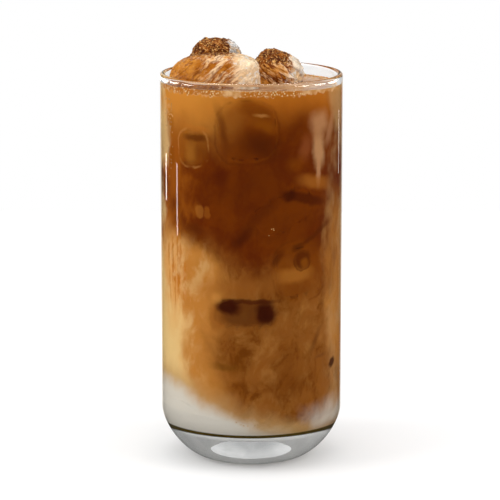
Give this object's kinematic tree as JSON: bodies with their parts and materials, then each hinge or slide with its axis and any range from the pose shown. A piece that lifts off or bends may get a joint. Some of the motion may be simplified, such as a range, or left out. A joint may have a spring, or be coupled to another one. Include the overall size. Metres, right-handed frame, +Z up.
{
  "type": "iced latte",
  "caption": "Iced coffee with milk and melting ice in a tall straight clear glass with a thick round base.",
  "frame": {"origin": "centre of the glass's foot, on the surface that it stands on", "axes": "+Z up along the glass's axis, -Y towards the viewer, +X to the viewer's right"},
  "size_m": [0.069, 0.069, 0.1592],
  "materials": {
    "clear_glass": "clear, polished, colourless",
    "latte": "coffee with milk, tan at the top, dark brown in the middle, with paler swirls below",
    "milk": "milk with a little coffee in it, creamy white",
    "ice": "wet melting ice, clear to cloudy, stained brown by coffee"
  },
  "bodies": {
    "root": {"glass": "clear_glass", "coffee": "latte", "milk": "milk", "ice_front": "ice", "ice_back": "ice", "ice_right": "ice"}
  },
  "joints": []
}
